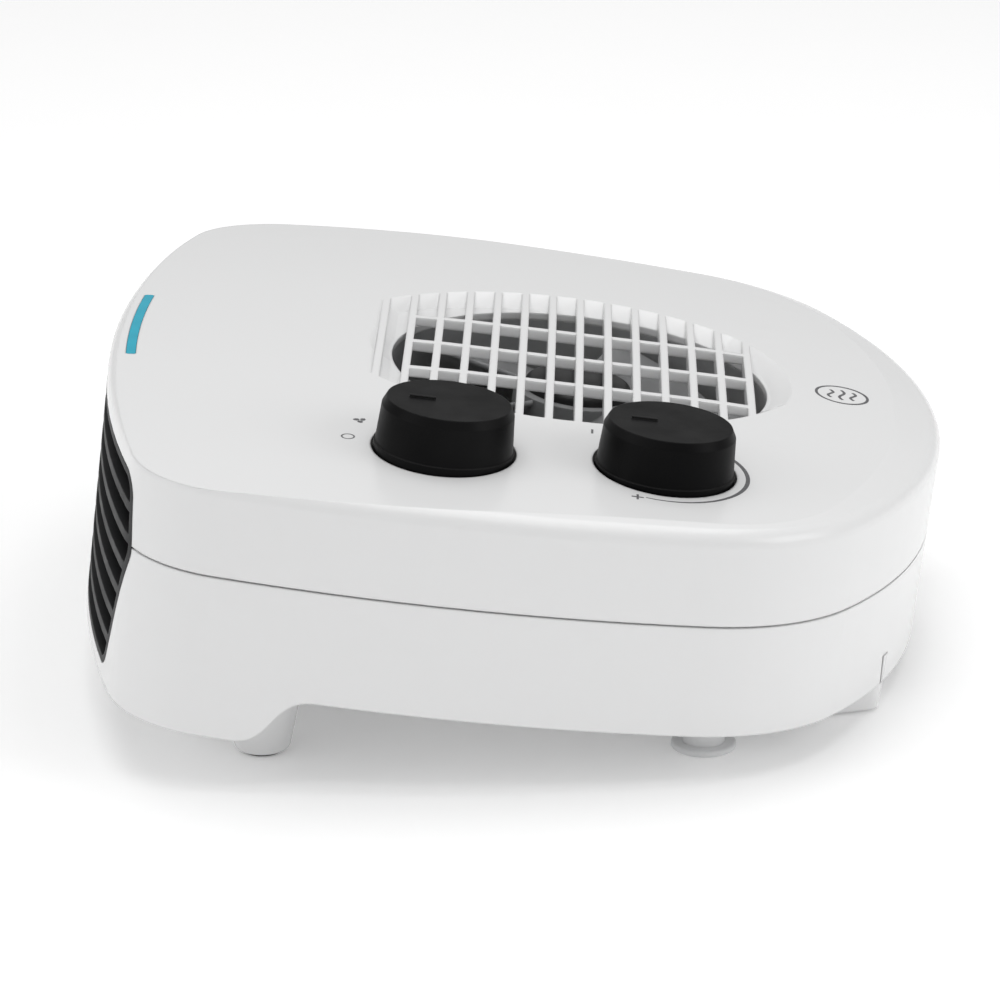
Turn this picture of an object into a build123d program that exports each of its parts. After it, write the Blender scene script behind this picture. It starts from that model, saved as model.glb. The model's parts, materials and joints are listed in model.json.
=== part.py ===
from build123d import *
from math import cos, degrees, pi, radians, sin
import os

os.makedirs("parts", exist_ok=True)

# A table-top fan convector heater.  Millimetres.  +Z is up, the outlet looks along -Y and the
# controls stand on the +X side.  The body leans back on its feet, so most pieces are drawn in
# the body's own plane, BODY: its origin is the middle of the flat top, its x runs across, its
# y runs to the rear along the top and its z is square to the top.  A level is a height in that
# plane, so it is negative below the top.

# ---- case -------------------------------------------------------------------------------
LEAN = 6.73                 # degrees by which the front of the body is raised
TOP_HEIGHT = 82.1           # middle of the top above the table
BODY_SHIFT = 4.96           # centres the whole object on the origin along Y
HALF_WIDTH = 125.3          # half the width at the widest place
WIDEST_Y = -30.0
FRONT_Y = -116.5
REAR_Y = 116.5
FRONT_RADIUS = 360.0        # gentle bows of the front, sides and rear seen from above
SIDE_RADIUS = 395.0
REAR_RADIUS = 165.0
FRONT_CORNER = 30.0
REAR_CORNER = 60.0
WALL = 2.6
TOP_THICKNESS = 2.6
DOME_RADIUS = 1500.0        # the top is slightly domed about the fan axis
BEVEL_WIDTH = 24.0          # soft slope round the top, the dome hides its upper part
BEVEL_DROP = 6.0
SHOULDER_RADIUS = 4.5
SEAM_LEVEL = -31.2
SEAM_GAP = 0.5
BOTTOM_LEVEL = -62.0
SKIRT_LEVEL = -75.5         # underside of the deeper front part
SKIRT_END_Y = -68.0
SKIRT_RISE_Y = -47.0
FLOOR_THICKNESS = 2.5
LIP_HEIGHT = 2.5            # rib of the lower shell that stands inside the upper one
LIP_WALL = 1.3
LIP_GAP = 0.15
DEEP = 90.0                 # longer than any cut needs
FIT_GAP = 0.2
RUNNING_GAP = 0.05

# ---- intake grille ----------------------------------------------------------------------
FAN_Y = 14.2                # fan axis, on the middle line
INTAKE_RADIUS = 53.0
BAR_PITCH = 8.0
BAR_COUNT = 14
BAR_WIDTH = 2.2
FIRST_BAR_Y = -42.3
CROSSBAR_PITCH = 23.24
CROSSBAR_WIDTH = 2.6
CROSSBAR_TOP = -0.5
CROSSBAR_BOTTOM = -3.4
GRILLE_DEPTH = 4.5
POCKET_FLOOR = 2.0
POCKET_SLOPE = 60.0         # degrees between the sloping sides of the intake and its axis
POCKET_RADIUS = 75.0        # both long sides of the pocket are arcs of this radius
POCKET_FAR_X = -62.0
POCKET_NEAR_X = 55.0
POCKET_SIDE_Y = 8.0
POCKET_FRONT_Y = -46.4
POCKET_END_RADIUS = 61.5    # the rear end is an arc about the fan axis
POCKET_END_START = 20.0     # where it takes over, behind the fan axis

# ---- outlet louvre ----------------------------------------------------------------------
OUTLET_TOP = -12.5
OUTLET_WAIST = -33.0
OUTLET_BOTTOM = -72.0
OUTLET_TOP_X = 105.5
OUTLET_WAIST_X = 108.3
OUTLET_BOTTOM_X = 92.5
OUTLET_CORNER = 7.0
OUTLET_CUT_START = 84.0
OUTLET_CUT_LENGTH = 50.0
OUTLET_ROWS = 7
LOUVRE_GAP = 0.25
LOUVRE_DEPTH = 12.0
LOUVRE_FRAME = 1.8
SLAT_PITCH = 8.3
SLAT_THICKNESS = 2.5
RIB_PITCH = 46.0
RIB_THICKNESS = 1.5
RIB_SETBACK = 6.0

# ---- indicator --------------------------------------------------------------------------
STRIP_OUTER = 4.5           # distances of the strip's two edges from the case outline
STRIP_INNER = 7.1
STRIP_LENGTH = 55.0
STRIP_CORNER = 0.8
STRIP_GAP = 0.1
STRIP_CUT = -13.0           # its slot goes down through the rounded front edge
LENS_BOTTOM = -10.0
LED_HEIGHT = 0.9
LED_COUNT = 4
LED_PITCH, LED_LENGTH, LED_WIDTH = 12.0, 3.0, 2.8
BOARD_THICKNESS = 1.2
BOARD_Y = -108.0
BOARD_WIDTH = 6.0
BOARD_MARGIN = 2.0          # shorter than the strip at each end

# ---- controls ---------------------------------------------------------------------------
MODE_PLACE = (83.0, -21.6)
THERMOSTAT_PLACE = (79.0, 37.0)
WELL_RADIUS = 19.3
WELL_WALL = 1.5
WELL_FLOOR_TOP = -6.8
WELL_FLOOR_BOTTOM = -8.6
KNOB_BASE_RADIUS = 18.7
KNOB_BASE_BOTTOM = -6.2
KNOB_BASE_TOP = -1.8
KNOB_TOP = 10.6
KNOB_FOOT_X, KNOB_FOOT_Y = 37.2, 36.8
KNOB_CROWN_X, KNOB_CROWN_Y = 34.6, 34.8
KNOB_EDGE = 1.6
KNOB_SKIN = 2.2
KNOB_HOLLOW_RADIUS = 15.5
KNOB_HUB_RADIUS = 6.5
KNOB_DRAFT = 6.0
POINTER_LENGTH, POINTER_WIDTH, POINTER_HEIGHT = 7.0, 1.1, 0.5
SPINDLE_RADIUS = 3.0
SPINDLE_TOP = 6.0
SPINDLE_BOTTOM = -19.2
SPINDLE_FLAT = 2.2          # distance of the spindle's flat from its axis
BUSH_RADIUS = 4.7
BUSH_TOP = -6.4
PLATE_TOP = -8.7
PLATE_THICKNESS = 1.2
PLATE_X = 81.0
PLATE_Y = 8.0
PLATE_WIDTH, PLATE_LENGTH = 32.0, 110.0
PLATE_CORNER = 4.0
PLATE_SCREWS = [(81.0, -43.0), (81.0, 59.0)]
PLATE_TIP = -4.8
SWITCH_SIZE = 30.0
SWITCH_HEIGHT = 15.0
SWITCH_CORNER = 4.0
TAG_WIDTH, TAG_THICKNESS, TAG_LENGTH = 4.8, 0.8, 7.0
TAG_PITCH_X, TAG_PITCH_Y = 18.0, 8.0
THERMOSTAT_WIDTH, THERMOSTAT_LENGTH, THERMOSTAT_HEIGHT = 26.0, 22.0, 12.0
BLADE_WIDTH = 8.0
BIMETAL_THICKNESS = 0.8
BIMETAL_INSET = 4.0         # from the ends of the body to the blade's rivets

# ---- fan and motor ----------------------------------------------------------------------
DUCT_WALL = 1.6
DUCT_BOTTOM = -25.0
DUCT_FLANGE_RADIUS = 57.0
EAR_RADIUS = 72.0           # the duct's four screws stand outside the intake
EAR_ANGLE = 48.0
EAR_REACH = 20.0
EAR_SIZE = 4.5
LUG_X = 57.0
LUG_SIZE = 8.0
LUG_HEIGHT = 6.0
BLADE_COUNT = 5
BLADE_TIP_RADIUS = 50.5
BLADE_MIDDLE = -16.0
BLADE_ROOT_CHORD, BLADE_TIP_CHORD = 22.0, 46.0
BLADE_ROOT_TILT, BLADE_TIP_TILT = 32.0, 15.0
BLADE_THICKNESS = 1.6
HUB_RADIUS = 18.0
HUB_TOP = -9.5
HUB_BOTTOM = -22.5
HUB_SKIN = 2.0
HUB_BOSS = 5.0
CAP_RADIUS = 15.0
CAP_TOP = -6.6
CAP_EDGE = 2.0
SHAFT_RADIUS = 2.0
SHAFT_TOP = -8.0
SHAFT_BOTTOM = -55.0
STRAP_TOP = -25.1
STRAP_THICKNESS = 1.5
STRAP_WIDTH = 14.0
BRIDGE_THICKNESS = 2.6
BRIDGE_GAP = 2.0
STACK_TOP = -33.0
STACK_BOTTOM = -47.0
STACK_HALF_WIDTH = 23.0
STACK_FRONT = 18.0          # core edges measured from the fan axis
STACK_REAR = 37.0
WINDOW_START, WINDOW_END = 15.5, 27.0
WINDOW_HALF_WIDTH = 13.5
SHADE_X, SHADE_Y = 10.0, 10.0
SHADE_SIZE = 2.5
COIL_HALF_WIDTH = 12.0
COIL_BUILD = 6.5
BOBBIN_WALL = 0.8
ROTOR_RADIUS = 11.0
ROTOR_GAP = 0.4
MOTOR_SCREW_X = 18.0
BEARING_RADIUS = 4.0
BEARING_BOSS = 6.0
BEARING_REACH = 2.0

# ---- heating element --------------------------------------------------------------------
ELEMENT_HALF_WIDTH = 90.0
ELEMENT_TOP = -15.0
ELEMENT_BOTTOM = -58.0
ELEMENT_FRONT = 90.0        # distances forward of the body's middle
ELEMENT_REAR = 72.0
SHEET = 1.0
MICA = 0.8
RIBBON_ROWS = 5
RIBBON_TURNS = 26
RIBBON_THICKNESS = 0.45
RIBBON_SIDE_GAP = 0.4
RIBBON_DEPTH = 8.0
SENSOR_X = 36.0
SENSOR_WIDTH = 34.0
CUTOUT_X, CUTOUT_LEVEL, CUTOUT_RADIUS, CUTOUT_HEIGHT = 30.0, -34.0, 8.0, 6.0
FUSE_X, FUSE_RADIUS, FUSE_LENGTH = 46.0, 2.0, 12.0
TAB_LENGTH, TAB_WIDTH = 9.0, 9.0
POST_PLACES = [(94.5, -81.0), (-94.5, -81.0)]
POST_RADIUS = 3.6
ELEMENT_SCREW_LENGTH = 9.0

# ---- supports ---------------------------------------------------------------------------
PAD_PROUD = 0.8
PAD_SUNK = 0.8
LEG_PAD_INSET = 2.0
FOOT_PAD_INSET = 3.0
LEG_X, LEG_Y = 92.7, -65.2
LEG_RADIUS = 7.3
LEG_TAPER = 12.0
LEG_EDGE = 1.5
FOOT_X, FOOT_Y = 56.3, 88.8
FOOT_TURN = 18.7            # degrees, the feet follow the rear corners
FOOT_WIDTH, FOOT_LENGTH = 20.0, 20.0
FOOT_TAPER = 8.0
FOOT_CORNER = 3.0
PEG_RADIUS = 2.5
PLUNGER_PLACE = (88.0, 52.6)
DISC_RADIUS = 8.8
DISC_THICKNESS = 1.8
DISC_EDGE = 0.7
STEM_RADIUS = 5.7
STEM_TOP = 27.0
NECK_RADIUS = 3.0
CLIP_RADIUS = 7.4
CLIP_THICKNESS = 1.5
ROD_RADIUS = 2.0
ROD_TOP = 46.0
GUIDE_RADIUS = 8.0
GUIDE_TOP = 20.5
HOLDER_BOTTOM, HOLDER_TOP = 38.0, 40.0
HOLDER_WIDTH, HOLDER_LENGTH, HOLDER_WALL = 18.0, 26.0, 2.0
TIP_SWITCH_SIZE = (14.0, 20.0, 8.0)
TIP_TAG_PITCH = 12.0
SPRING_RADIUS = 3.4
SPRING_WIRE = 0.35
SPRING_TURNS = 6

# ---- mains entry ------------------------------------------------------------------------
GLAND_LEVEL = -47.0
GLAND_TURN = 14.0           # degrees round the rear bow from its middle, towards -X
GLAND_RADIUS = 6.0
GLAND_FLANGE_RADIUS = 8.5
GLAND_BORE = 3.6
GLAND_INSIDE = 10.0
GLAND_OUTSIDE = 1.5
GLAND_EDGE = 0.8
TERMINAL_PLACE = (-18.0, 84.0)
TERMINAL_SIZE = (34.0, 14.0, 12.0)
TERMINAL_PITCH = 10.5
TERMINAL_CORNER = 1.5

# ---- fasteners --------------------------------------------------------------------------
CASE_SCREWS = [(107.0, -76.0), (-107.0, -76.0), (84.0, 77.0), (-84.0, 77.0)]
BOSS_RADIUS = 4.5
SCREW_RADIUS = 1.5
HEAD_RADIUS = 3.0
HEAD_HEIGHT = 2.2
NUT_HEIGHT = 1.0
SLOT_LENGTH = 3.6
SLOT_WIDTH = 0.8
SLOT_DEPTH = 0.9
SEAT_LEVEL = -45.0
CASE_TIP = -17.0
TIP_CLEARANCE = 0.5         # room left beyond the end of a screw

lean = radians(LEAN)
BODY = Plane(origin=(0, BODY_SHIFT, TOP_HEIGHT), x_dir=(1, 0, 0), z_dir=(0, sin(lean), cos(lean)))
SIDE = Plane(origin=BODY.origin, x_dir=BODY.y_dir, z_dir=(1, 0, 0))
FRONT = Plane(origin=BODY.origin, x_dir=(1, 0, 0), z_dir=BODY.y_dir * -1)
UP = Axis((0, 0, 0), BODY.z_dir)
FAN_PLACE = (0.0, FAN_Y)
pocket_underside = -GRILLE_DEPTH - POCKET_FLOOR
last_bar_y = FIRST_BAR_Y + (BAR_COUNT - 1) * BAR_PITCH
ear_turns = [radians(angle) for angle in (EAR_ANGLE, 180 - EAR_ANGLE, 180 + EAR_ANGLE, -EAR_ANGLE)]
EAR_PLACES = [(EAR_RADIUS * cos(turn), FAN_Y + EAR_RADIUS * sin(turn)) for turn in ear_turns]
EAR_TIP = -3.0

# ---- shapes shared by several pieces ----------------------------------------------------

def case_outline(inset=0.0):
    """The case seen from above: three bows that meet in rounded corners, moved inwards."""
    with BuildSketch() as plan:
        with Locations((0, FRONT_Y + FRONT_RADIUS)):
            Circle(FRONT_RADIUS - inset)
        for side in (-1, 1):
            with Locations((side * (HALF_WIDTH - SIDE_RADIUS), WIDEST_Y)):
                Circle(SIDE_RADIUS - inset, mode=Mode.INTERSECT)
        with Locations((0, REAR_Y - REAR_RADIUS)):
            Circle(REAR_RADIUS - inset, mode=Mode.INTERSECT)
        fillet(plan.vertices().group_by(Axis.Y)[0], FRONT_CORNER - inset)
        fillet(plan.vertices().group_by(Axis.Y)[-1], REAR_CORNER - inset)
    return plan.sketch


def pocket_outline(grow=0.0):
    """The sunken intake seen from above, moved outwards."""
    with BuildSketch() as plan:
        with Locations((POCKET_FAR_X + POCKET_RADIUS, POCKET_SIDE_Y)):
            Circle(POCKET_RADIUS + grow)
        with Locations((POCKET_NEAR_X - POCKET_RADIUS, POCKET_SIDE_Y)):
            Circle(POCKET_RADIUS + grow, mode=Mode.INTERSECT)
        with BuildSketch(mode=Mode.INTERSECT):
            with Locations(FAN_PLACE):
                Circle(POCKET_END_RADIUS + grow)
            pocket_length = FAN_Y + POCKET_END_START - POCKET_FRONT_Y + grow
            with Locations((0, POCKET_FRONT_Y - grow + pocket_length / 2)):
                Rectangle(DEEP * 2, pocket_length)
    return plan.sketch


def discs(places, radius):
    """Equal round faces seen from above."""
    with BuildSketch() as plan:
        with Locations(*places):
            Circle(radius)
    return plan.sketch


def ears():
    """Rounded tabs that reach out from the fan duct to its four screws."""
    with BuildSketch() as plan:
        for turn in ear_turns:
            middle = EAR_RADIUS - EAR_REACH / 2
            with Locations((middle * cos(turn), FAN_Y + middle * sin(turn))):
                SlotCenterToCenter(EAR_REACH, EAR_SIZE * 2, rotation=degrees(turn))
    return plan.sketch


def prism(outline, low, high):
    """An outline seen from above, carried between two levels of the body."""
    with BuildPart() as block:
        with BuildSketch(BODY.offset(low)):
            add(outline)
        extrude(amount=high - low)
    return block.part


def edges_at(block, level):
    """The edges of a block that lie at one level of the body."""
    return block.edges().filter_by(lambda e: abs(BODY.to_local_coords(e.center()).Z - level) < 0.05)


def dome(level):
    """A ball whose highest point lies on the fan axis at one level of the body."""
    with BuildPart(Plane(origin=BODY.from_local_coords((0, FAN_Y, -DOME_RADIUS)))) as ball:
        Sphere(DOME_RADIUS + level)
    return ball.part


def upper_block(outline, top):
    """Block from the seam up to a domed top, whose border slopes down to a soft shoulder."""
    low = SEAM_LEVEL + SEAM_GAP / 2
    with BuildPart() as block:
        with BuildSketch(BODY.offset(low)):
            add(outline)
        extrude(amount=top - low)
        top_face = block.faces().sort_by(UP)[-1]
        chamfer(top_face.edges(), length=BEVEL_WIDTH, length2=BEVEL_DROP, reference=top_face)
        fillet(edges_at(block, top - BEVEL_DROP), SHOULDER_RADIUS)
        add(dome(top), mode=Mode.INTERSECT)
    return block.part


def lower_block(outline, rise):
    """Block below the seam, with its underside stepped down at the front."""
    with BuildPart() as block:
        with BuildSketch(BODY.offset(SEAM_LEVEL - SEAM_GAP / 2)):
            add(outline)
        extrude(amount=-DEEP)
        with BuildSketch(SIDE):
            with BuildLine():
                front = Line((-DEEP * 2, SKIRT_LEVEL + rise), (SKIRT_END_Y, SKIRT_LEVEL + rise))
                step = Spline(
                    front @ 1,
                    (SKIRT_RISE_Y, BOTTOM_LEVEL + rise),
                    tangents=((1, 0), (1, 0)),
                )
                rear = Line(step @ 1, (DEEP * 2, BOTTOM_LEVEL + rise))
                Polyline(rear @ 1, (DEEP * 2, -DEEP * 2), (-DEEP * 2, -DEEP * 2), front @ 0)
            make_face()
        extrude(amount=DEEP * 2, both=True, mode=Mode.SUBTRACT)
    return block.part


def outlet_face(grow):
    """The outlet's outline seen from the front, moved outwards."""
    with BuildSketch() as face:
        with BuildLine():
            Polyline(
                (-OUTLET_TOP_X, OUTLET_TOP),
                (OUTLET_TOP_X, OUTLET_TOP),
                (OUTLET_WAIST_X, OUTLET_WAIST),
                (OUTLET_BOTTOM_X, OUTLET_BOTTOM),
                (-OUTLET_BOTTOM_X, OUTLET_BOTTOM),
                (-OUTLET_WAIST_X, OUTLET_WAIST),
                close=True,
            )
        make_face()
        fillet(face.vertices(), OUTLET_CORNER)
        if grow:
            offset(amount=grow, mode=Mode.REPLACE)
    return face.sketch


def outlet_prism(grow):
    """The outlet's outline carried through the front wall."""
    with BuildPart() as block:
        with BuildSketch(FRONT.offset(OUTLET_CUT_START)):
            add(outlet_face(grow))
        extrude(amount=OUTLET_CUT_LENGTH)
    return block.part


def strip_plan(grow):
    """The indicator strip seen from above: a short band that follows the front edge."""
    with BuildSketch() as plan:
        add(case_outline(STRIP_OUTER - grow))
        add(case_outline(STRIP_INNER + grow), mode=Mode.SUBTRACT)
        with Locations((0, FRONT_Y)):
            Rectangle(STRIP_LENGTH + 2 * grow, DEEP, mode=Mode.INTERSECT)
        fillet(plan.vertices(), STRIP_CORNER)
    return plan.sketch


def pan_screws(places, seat, tip):
    """Cross-slotted screws driven upwards: heads below the seat level, shanks up to the tip."""
    with BuildPart() as screws:
        add(prism(discs(places, SCREW_RADIUS), seat, tip))
        add(prism(discs(places, HEAD_RADIUS), seat - HEAD_HEIGHT, seat))
        with BuildSketch(BODY.offset(seat - HEAD_HEIGHT)):
            with Locations(*places):
                Rectangle(SLOT_LENGTH, SLOT_WIDTH)
                Rectangle(SLOT_WIDTH, SLOT_LENGTH)
        extrude(amount=SLOT_DEPTH, mode=Mode.SUBTRACT)
    return screws.part


upper_solid = upper_block(case_outline(), 0.0)
lower_solid = lower_block(case_outline(), 0.0)
lower_cavity = lower_block(case_outline(WALL), FLOOR_THICKNESS)

# ---- upper shell ------------------------------------------------------------------------

with BuildPart() as upper_shell:
    add(upper_solid)
    add(upper_block(case_outline(WALL), -TOP_THICKNESS), mode=Mode.SUBTRACT)
    # floor of the sunken intake, and pads beside it that the fan duct is screwed to
    with BuildSketch(BODY.offset(pocket_underside)):
        add(pocket_outline(POCKET_FLOOR))
        add(discs(EAR_PLACES, EAR_SIZE))
    extrude(amount=-pocket_underside - TOP_THICKNESS / 2)
    # the pocket, whose sides slope down to the round opening through its floor
    with BuildSketch(BODY):
        add(pocket_outline())
    extrude(amount=-GRILLE_DEPTH, taper=POCKET_SLOPE, mode=Mode.SUBTRACT)
    add(prism(discs([FAN_PLACE], INTAKE_RADIUS), -DEEP, 0), mode=Mode.SUBTRACT)
    # bars across the pocket and three crossbars along it
    with BuildSketch(BODY.offset(-GRILLE_DEPTH)):
        with Locations((0, (FIRST_BAR_Y + last_bar_y) / 2)):
            with GridLocations(1, BAR_PITCH, 1, BAR_COUNT):
                Rectangle(DEEP * 2, BAR_WIDTH)
        add(pocket_outline(), mode=Mode.INTERSECT)
    extrude(amount=GRILLE_DEPTH)
    with BuildSketch(BODY.offset(CROSSBAR_BOTTOM)):
        with Locations((0, (FIRST_BAR_Y + BAR_PITCH + last_bar_y) / 2)):
            with GridLocations(CROSSBAR_PITCH, 1, 3, 1):
                Rectangle(CROSSBAR_WIDTH, last_bar_y - FIRST_BAR_Y - BAR_PITCH)
    extrude(amount=CROSSBAR_TOP - CROSSBAR_BOTTOM)
    # wells for the two knobs, and pillars for the screws
    wells = [MODE_PLACE, THERMOSTAT_PLACE]
    add(prism(discs(wells, WELL_RADIUS + WELL_WALL), WELL_FLOOR_BOTTOM, -TOP_THICKNESS / 2))
    add(prism(discs(CASE_SCREWS, BOSS_RADIUS), SEAM_LEVEL + SEAM_GAP / 2, -TOP_THICKNESS / 2))
    add(prism(discs(PLATE_SCREWS, BOSS_RADIUS), PLATE_TOP, -TOP_THICKNESS / 2))
    add(upper_solid, mode=Mode.INTERSECT)
    add(prism(discs(wells, WELL_RADIUS), WELL_FLOOR_TOP, DEEP), mode=Mode.SUBTRACT)
    add(prism(discs(wells, BUSH_RADIUS + FIT_GAP), -DEEP, 0), mode=Mode.SUBTRACT)
    add(prism(discs(CASE_SCREWS, SCREW_RADIUS + RUNNING_GAP), -DEEP, CASE_TIP), mode=Mode.SUBTRACT)
    add(prism(discs(PLATE_SCREWS, SCREW_RADIUS + RUNNING_GAP), -DEEP, PLATE_TIP), mode=Mode.SUBTRACT)
    add(prism(discs(EAR_PLACES, SCREW_RADIUS + RUNNING_GAP), -DEEP, EAR_TIP), mode=Mode.SUBTRACT)
    # slot of the indicator strip and the upper part of the outlet
    add(prism(strip_plan(STRIP_GAP), STRIP_CUT, DEEP), mode=Mode.SUBTRACT)
    add(outlet_prism(0.0), mode=Mode.SUBTRACT)
upper_shell.part.label = "upper_shell"
export_step(upper_shell.part, "parts/upper_shell.step")

# ---- supports ---------------------------------------------------------------------------
# Legs, feet and plunger are upright, square to the table and not to the leaning body.

leg_places = {"left": (-LEG_X, LEG_Y), "right": (LEG_X, LEG_Y)}
foot_places = {"left": (-FOOT_X, FOOT_Y), "right": (FOOT_X, FOOT_Y)}
peg_tops = {"leg": 27.0, "foot": 16.0}
pad_width = FOOT_WIDTH - FOOT_PAD_INSET * 2
pad_length = FOOT_LENGTH - FOOT_PAD_INSET * 2


def upright(outline, low, high):
    """An outline seen from above, carried straight up between two heights above the table."""
    with BuildPart() as block:
        with BuildSketch(Plane.XY.offset(low)):
            add(outline)
        extrude(amount=high - low)
    return block.part


for name, place in leg_places.items():
    with BuildPart() as front_leg:
        with BuildSketch(Plane.XY.offset(PAD_PROUD)):
            with Locations(place):
                Circle(LEG_RADIUS)
        extrude(amount=peg_tops["leg"], taper=-LEG_TAPER)
        fillet(front_leg.edges().group_by(Axis.Z)[0], LEG_EDGE)
        add(lower_solid, mode=Mode.SUBTRACT)
        add(upright(discs([place], PEG_RADIUS), PAD_PROUD, peg_tops["leg"]))
        add(upright(discs([place], LEG_RADIUS - LEG_PAD_INSET), 0, PAD_PROUD + PAD_SUNK), mode=Mode.SUBTRACT)
    front_leg.part.label = f"front_leg_{name}"
    export_step(front_leg.part, f"parts/front_leg_{name}.step")

for name, place in foot_places.items():
    turn = FOOT_TURN if name == "right" else -FOOT_TURN
    with BuildPart() as rear_foot:
        with BuildSketch(Plane.XY.offset(PAD_PROUD)):
            with Locations(place):
                RectangleRounded(FOOT_WIDTH, FOOT_LENGTH, FOOT_CORNER, rotation=turn)
        extrude(amount=peg_tops["foot"], taper=-FOOT_TAPER)
        add(lower_solid, mode=Mode.SUBTRACT)
        add(upright(discs([place], PEG_RADIUS), PAD_PROUD, peg_tops["foot"]))
        with BuildSketch(Plane.XY):
            with Locations(place):
                RectangleRounded(pad_width, pad_length, FOOT_CORNER, rotation=turn)
        extrude(amount=PAD_PROUD + PAD_SUNK, mode=Mode.SUBTRACT)
    rear_foot.part.label = f"rear_foot_{name}"
    export_step(rear_foot.part, f"parts/rear_foot_{name}.step")

with BuildPart() as foot_pads:
    with BuildSketch():
        with Locations(*leg_places.values()):
            Circle(LEG_RADIUS - LEG_PAD_INSET - RUNNING_GAP)
        for side, turn in ((-1, -FOOT_TURN), (1, FOOT_TURN)):
            with Locations((side * FOOT_X, FOOT_Y)):
                RectangleRounded(
                    pad_width - RUNNING_GAP * 2,
                    pad_length - RUNNING_GAP * 2,
                    FOOT_CORNER,
                    rotation=turn,
                )
    extrude(amount=PAD_PROUD + PAD_SUNK)
foot_pads.part.label = "foot_pads"
export_step(foot_pads.part, "parts/foot_pads.step")

# ---- lower shell ------------------------------------------------------------------------

gland_turn = radians(GLAND_TURN)
gland_x = -REAR_RADIUS * sin(gland_turn)
gland_y = REAR_Y - REAR_RADIUS + REAR_RADIUS * cos(gland_turn)
GLAND = Plane(
    origin=BODY.from_local_coords((gland_x, gland_y, GLAND_LEVEL)),
    x_dir=BODY.x_dir * cos(gland_turn) + BODY.y_dir * sin(gland_turn),
    z_dir=BODY.y_dir * cos(gland_turn) - BODY.x_dir * sin(gland_turn),
)

with BuildPart() as lower_shell:
    add(lower_solid)
    add(lower_cavity, mode=Mode.SUBTRACT)
    # tubes for the case screws, posts for the heater and the guide of the tip-over plunger
    add(prism(discs(CASE_SCREWS, BOSS_RADIUS), -DEEP, SEAM_LEVEL - SEAM_GAP / 2))
    add(prism(discs(POST_PLACES, POST_RADIUS), -DEEP, ELEMENT_BOTTOM))
    add(upright(discs([PLUNGER_PLACE], GUIDE_RADIUS), 0, GUIDE_TOP))
    # blocks that take the pegs of the legs and feet
    add(upright(discs(leg_places.values(), BOSS_RADIUS), 0, peg_tops["leg"]))
    add(upright(discs(foot_places.values(), BOSS_RADIUS), 0, peg_tops["foot"]))
    add(lower_solid, mode=Mode.INTERSECT)
    # a thin rib inside the seam keeps the two shells in line
    rib_low = SEAM_LEVEL - LIP_HEIGHT * 2
    rib_high = SEAM_LEVEL + LIP_HEIGHT
    with BuildSketch(BODY.offset(rib_low)):
        add(case_outline(WALL - LIP_GAP))
        add(case_outline(WALL + LIP_GAP + LIP_WALL), mode=Mode.SUBTRACT)
    extrude(amount=SEAM_LEVEL - SEAM_GAP - rib_low)
    with BuildSketch(BODY.offset(SEAM_LEVEL - SEAM_GAP * 2)):
        add(case_outline(WALL + LIP_GAP))
        add(case_outline(WALL + LIP_GAP + LIP_WALL), mode=Mode.SUBTRACT)
    extrude(amount=rib_high - SEAM_LEVEL + SEAM_GAP * 2)
    # holes and recesses
    add(prism(discs(CASE_SCREWS, HEAD_RADIUS + FIT_GAP), -DEEP, SEAT_LEVEL), mode=Mode.SUBTRACT)
    add(prism(discs(CASE_SCREWS, SCREW_RADIUS + FIT_GAP), -DEEP, 0), mode=Mode.SUBTRACT)
    post_holes = discs(POST_PLACES, SCREW_RADIUS + RUNNING_GAP)
    add(prism(post_holes, ELEMENT_BOTTOM - ELEMENT_SCREW_LENGTH - 1, 0), mode=Mode.SUBTRACT)
    leg_holes = discs(leg_places.values(), PEG_RADIUS + RUNNING_GAP)
    add(upright(leg_holes, 0, peg_tops["leg"] + 1), mode=Mode.SUBTRACT)
    foot_holes = discs(foot_places.values(), PEG_RADIUS + RUNNING_GAP)
    add(upright(foot_holes, 0, peg_tops["foot"] + 1), mode=Mode.SUBTRACT)
    add(upright(discs([PLUNGER_PLACE], STEM_RADIUS + RUNNING_GAP), 0, DEEP), mode=Mode.SUBTRACT)
    with BuildSketch(GLAND.offset(-GLAND_INSIDE)):
        Circle(GLAND_RADIUS + RUNNING_GAP)
    extrude(amount=GLAND_INSIDE * 2, mode=Mode.SUBTRACT)
    add(outlet_prism(0.0), mode=Mode.SUBTRACT)
lower_shell.part.label = "lower_shell"
export_step(lower_shell.part, "parts/lower_shell.step")

# ---- outlet louvre ----------------------------------------------------------------------

with BuildPart() as outlet_louvre:
    add(prism(case_outline(), OUTLET_BOTTOM, OUTLET_TOP))
    louvre_back = case_outline(LOUVRE_DEPTH)
    add(prism(louvre_back, -DEEP, 0), mode=Mode.SUBTRACT)
    add(outlet_prism(-LOUVRE_GAP), mode=Mode.INTERSECT)
    with BuildSketch(FRONT.offset(OUTLET_CUT_START - 4)):
        add(outlet_face(-LOUVRE_GAP - LOUVRE_FRAME))
        with Locations((0, (OUTLET_TOP + OUTLET_BOTTOM) / 2)):
            with GridLocations(1, SLAT_PITCH, 1, OUTLET_ROWS - 1):
                Rectangle(DEEP * 4, SLAT_THICKNESS, mode=Mode.SUBTRACT)
    extrude(amount=OUTLET_CUT_LENGTH + 4, mode=Mode.SUBTRACT)
    # upright ribs behind the slats
    with BuildSketch(BODY.offset(OUTLET_BOTTOM + LOUVRE_FRAME)):
        add(case_outline(RIB_SETBACK))
        add(louvre_back, mode=Mode.SUBTRACT)
        with Locations((0, FRONT_Y)):
            with GridLocations(RIB_PITCH, 1, 4, 1):
                Rectangle(RIB_THICKNESS, DEEP, mode=Mode.INTERSECT)
    extrude(amount=OUTLET_TOP - OUTLET_BOTTOM - LOUVRE_FRAME * 2)
outlet_louvre.part.label = "outlet_louvre"
export_step(outlet_louvre.part, "parts/outlet_louvre.step")

# ---- indicator --------------------------------------------------------------------------

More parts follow.
